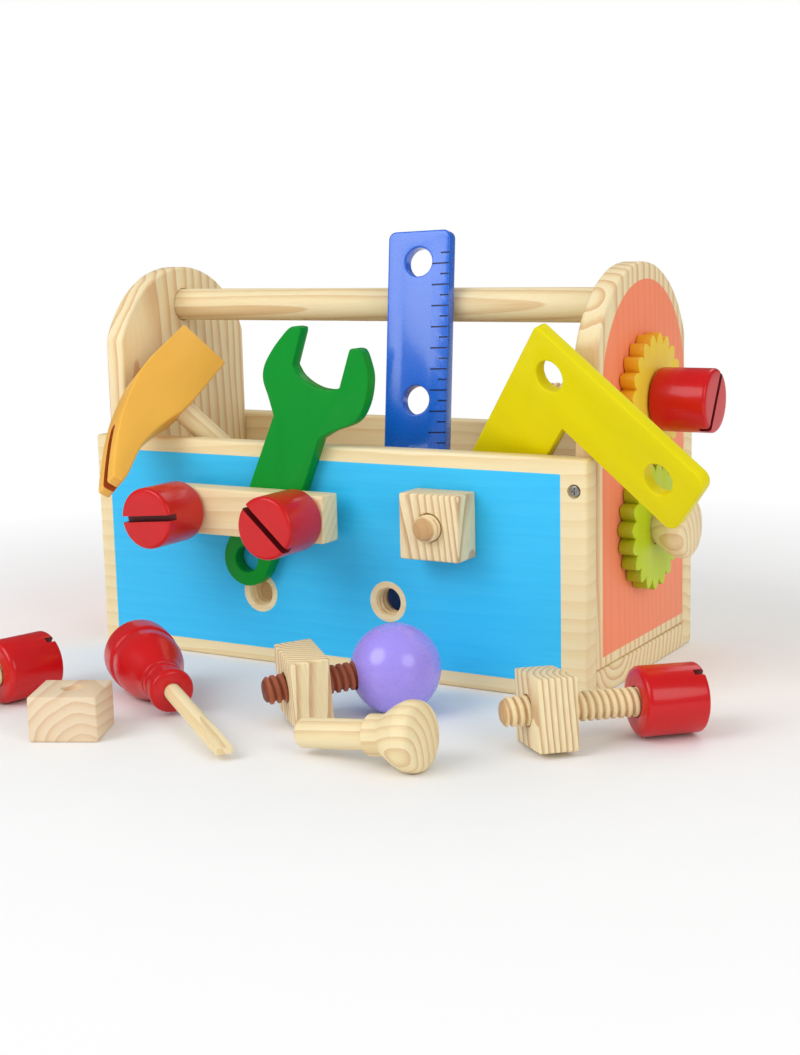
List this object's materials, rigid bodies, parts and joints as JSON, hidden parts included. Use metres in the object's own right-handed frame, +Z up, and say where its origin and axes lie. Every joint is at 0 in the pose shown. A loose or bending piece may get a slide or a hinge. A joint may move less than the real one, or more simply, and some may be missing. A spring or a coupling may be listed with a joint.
{
  "type": "toy workbench",
  "caption": "Wooden toy carry toolbox with arched ends and a dowel handle, gears, a clamp strip, threaded play bolts and nuts, and lacquered toy hand tools.",
  "frame": {"origin": "centre of the box underside", "axes": "+X along the box length towards the gear end, -Y out of the printed front board, +Z up"},
  "size_m": [0.3733, 0.327, 0.2283],
  "materials": {
    "pine_board": "sanded bare pine board with growth rings",
    "printed_front": "pine board with a sky blue printed panel inside a bare border",
    "printed_end": "pine board with a coral printed arch inside a bare border",
    "pine_turned": "turned bare pine, threaded or plain",
    "pine_block": "sanded bare pine block with end grain",
    "red_lacquer": "glossy red lacquer on wood",
    "green_lacquer": "satin green lacquer on plywood",
    "blue_lacquer": "glossy blue lacquer on wood with orange-peel texture",
    "yellow_lacquer": "satin yellow lacquer on wood",
    "orange_lacquer": "satin orange lacquer on wood",
    "amber_lacquer": "satin amber lacquer on wood",
    "lime_lacquer": "satin lime lacquer on wood",
    "purple_lacquer": "glossy violet lacquer on wood",
    "stained_shank": "reddish brown stained threaded shank",
    "screw_steel": "bare steel countersunk screw"
  },
  "bodies": {
    "box": {"bottom_board": "pine_board", "front_board": "printed_front", "back_board": "pine_board", "end_board_left": "printed_end", "end_board_right": "printed_end", "carry_handle": "pine_turned", "screw_front_left": "screw_steel", "screw_front_right": "screw_steel", "screw_back_left": "screw_steel", "screw_back_right": "screw_steel"},
    "clamp_strip": {"clamp_strip": "pine_board"},
    "front_bolt_left": {"front_bolt_left_head": "red_lacquer", "front_bolt_left_shank": "pine_turned"},
    "front_bolt_mid": {"front_bolt_mid_head": "red_lacquer", "front_bolt_mid_shank": "pine_turned"},
    "wrench": {"wrench": "green_lacquer"},
    "inner_bolt": {"inner_bolt_head": "red_lacquer", "inner_bolt_shank": "pine_turned"},
    "front_nut": {"front_nut": "pine_block"},
    "gear_upper": {"gear_upper": "amber_lacquer"},
    "gear_lower": {"gear_lower": "lime_lacquer"},
    "gear_bolt": {"gear_bolt_head": "red_lacquer", "gear_bolt_shank": "pine_turned"},
    "gear_peg": {"gear_peg": "pine_turned"},
    "ruler": {"ruler": "blue_lacquer"},
    "square": {"square": "yellow_lacquer"},
    "hammer": {"hammer_head": "orange_lacquer", "hammer_grip": "pine_turned"},
    "loose_bolt_left": {"loose_bolt_left_head": "red_lacquer", "loose_bolt_left_shank": "pine_turned"},
    "loose_block": {"loose_block": "pine_block"},
    "screwdriver": {"screwdriver_handle": "red_lacquer", "screwdriver_blade": "pine_turned"},
    "ball_bolt": {"ball_bolt_ball": "purple_lacquer", "ball_bolt_shank": "stained_shank"},
    "ball_nut": {"ball_nut": "pine_block"},
    "loose_peg": {"loose_peg": "pine_turned"},
    "loose_bolt_right": {"loose_bolt_right_head": "red_lacquer", "loose_bolt_right_shank": "pine_turned"},
    "loose_nut_right": {"loose_nut_right": "pine_block"}
  },
  "joints": [
    {"name": "strip_slide", "type": "slide", "parent": "box", "child": "clamp_strip", "axis": [0, -1, 0], "range_m": [0, 0.018]},
    {"name": "front_bolt_left_turn", "type": "hinge", "parent": "clamp_strip", "child": "front_bolt_left", "pos_m": [-0.074, -0.1, 0.0845], "axis": [0, -1, 0], "range_deg": [0, 1801]},
    {"name": "front_bolt_mid_turn", "type": "hinge", "parent": "clamp_strip", "child": "front_bolt_mid", "pos_m": [0, -0.1, 0.0845], "axis": [0, -1, 0], "range_deg": [0, 1801]},
    {"name": "wrench_lift", "type": "slide", "parent": "box", "child": "wrench", "axis": [0, 0, 1], "range_m": [0, 0.1]},
    {"name": "inner_bolt_turn", "type": "hinge", "parent": "box", "child": "inner_bolt", "pos_m": [0.074, -0.05, 0.0845], "axis": [0, 1, 0], "range_deg": [0, 721]},
    {"name": "front_nut_slide", "type": "slide", "parent": "box", "child": "front_nut", "axis": [0, -1, 0], "range_m": [0, 0.0072]},
    {"name": "gear_upper_spin", "type": "hinge", "parent": "box", "child": "gear_upper", "pos_m": [0.1544, -0.0015, 0.1418], "axis": [1, 0, 0], "continuous": true},
    {"name": "gear_lower_spin", "type": "hinge", "parent": "box", "child": "gear_lower", "pos_m": [0.1544, -0.0015, 0.0776], "axis": [1, 0, 0], "continuous": true},
    {"name": "gear_bolt_turn", "type": "hinge", "parent": "box", "child": "gear_bolt", "pos_m": [0.16, -0.0015, 0.1418], "axis": [1, 0, 0], "range_deg": [0, 360]},
    {"name": "gear_peg_pull", "type": "slide", "parent": "box", "child": "gear_peg", "axis": [1, 0, 0], "range_m": [0, 0.045]},
    {"name": "ruler_lift", "type": "slide", "parent": "box", "child": "ruler", "axis": [-0.051, 0.1779, 0.9827], "range_m": [0, 0.12]},
    {"name": "square_lift", "type": "slide", "parent": "box", "child": "square", "axis": [0, 0, 1], "range_m": [0, 0.08]},
    {"name": "hammer_lift", "type": "slide", "parent": "box", "child": "hammer", "axis": [0, 0, 1], "range_m": [0, 0.08]},
    {"name": "loose_bolt_left_lift", "type": "slide", "parent": "box", "child": "loose_bolt_left", "axis": [0, 0, 1], "range_m": [0, 0.1]},
    {"name": "loose_block_lift", "type": "slide", "parent": "box", "child": "loose_block", "axis": [0, 0, 1], "range_m": [0, 0.1]},
    {"name": "screwdriver_lift", "type": "slide", "parent": "box", "child": "screwdriver", "axis": [0, 0, 1], "range_m": [0, 0.1]},
    {"name": "ball_bolt_turn", "type": "hinge", "parent": "box", "child": "ball_bolt", "pos_m": [0.07353, -0.12223, 0.02195], "axis": [0.6674, 0.7415, 0.069], "range_deg": [-1081, 0]},
    {"name": "ball_nut_slide", "type": "slide", "parent": "box", "child": "ball_nut", "axis": [0.6674, 0.7415, 0.069], "range_m": [0, 0.0108]},
    {"name": "loose_peg_lift", "type": "slide", "parent": "box", "child": "loose_peg", "axis": [0, 0, 1], "range_m": [0, 0.1]},
    {"name": "loose_bolt_right_turn", "type": "hinge", "parent": "box", "child": "loose_bolt_right", "pos_m": [0.1618, -0.1406, 0.0179], "axis": [0.71, 0.704, -0.014], "range_deg": [-1801, 0]},
    {"name": "loose_nut_right_slide", "type": "slide", "parent": "box", "child": "loose_nut_right", "axis": [0.71, 0.704, -0.014], "range_m": [0, 0.018]}
  ],
  "couplings": [
    {"joint": "front_bolt_left_turn", "follows": "strip_slide", "rad_per_m": 1745.3},
    {"joint": "front_bolt_mid_turn", "follows": "strip_slide", "rad_per_m": 1745.3},
    {"joint": "inner_bolt_turn", "follows": "front_nut_slide", "rad_per_m": 1745.3},
    {"joint": "gear_lower_spin", "follows": "gear_upper_spin", "ratio": -1},
    {"joint": "ball_bolt_turn", "follows": "ball_nut_slide", "rad_per_m": -1745.3},
    {"joint": "loose_bolt_right_turn", "follows": "loose_nut_right_slide", "rad_per_m": -1745.3}
  ]
}
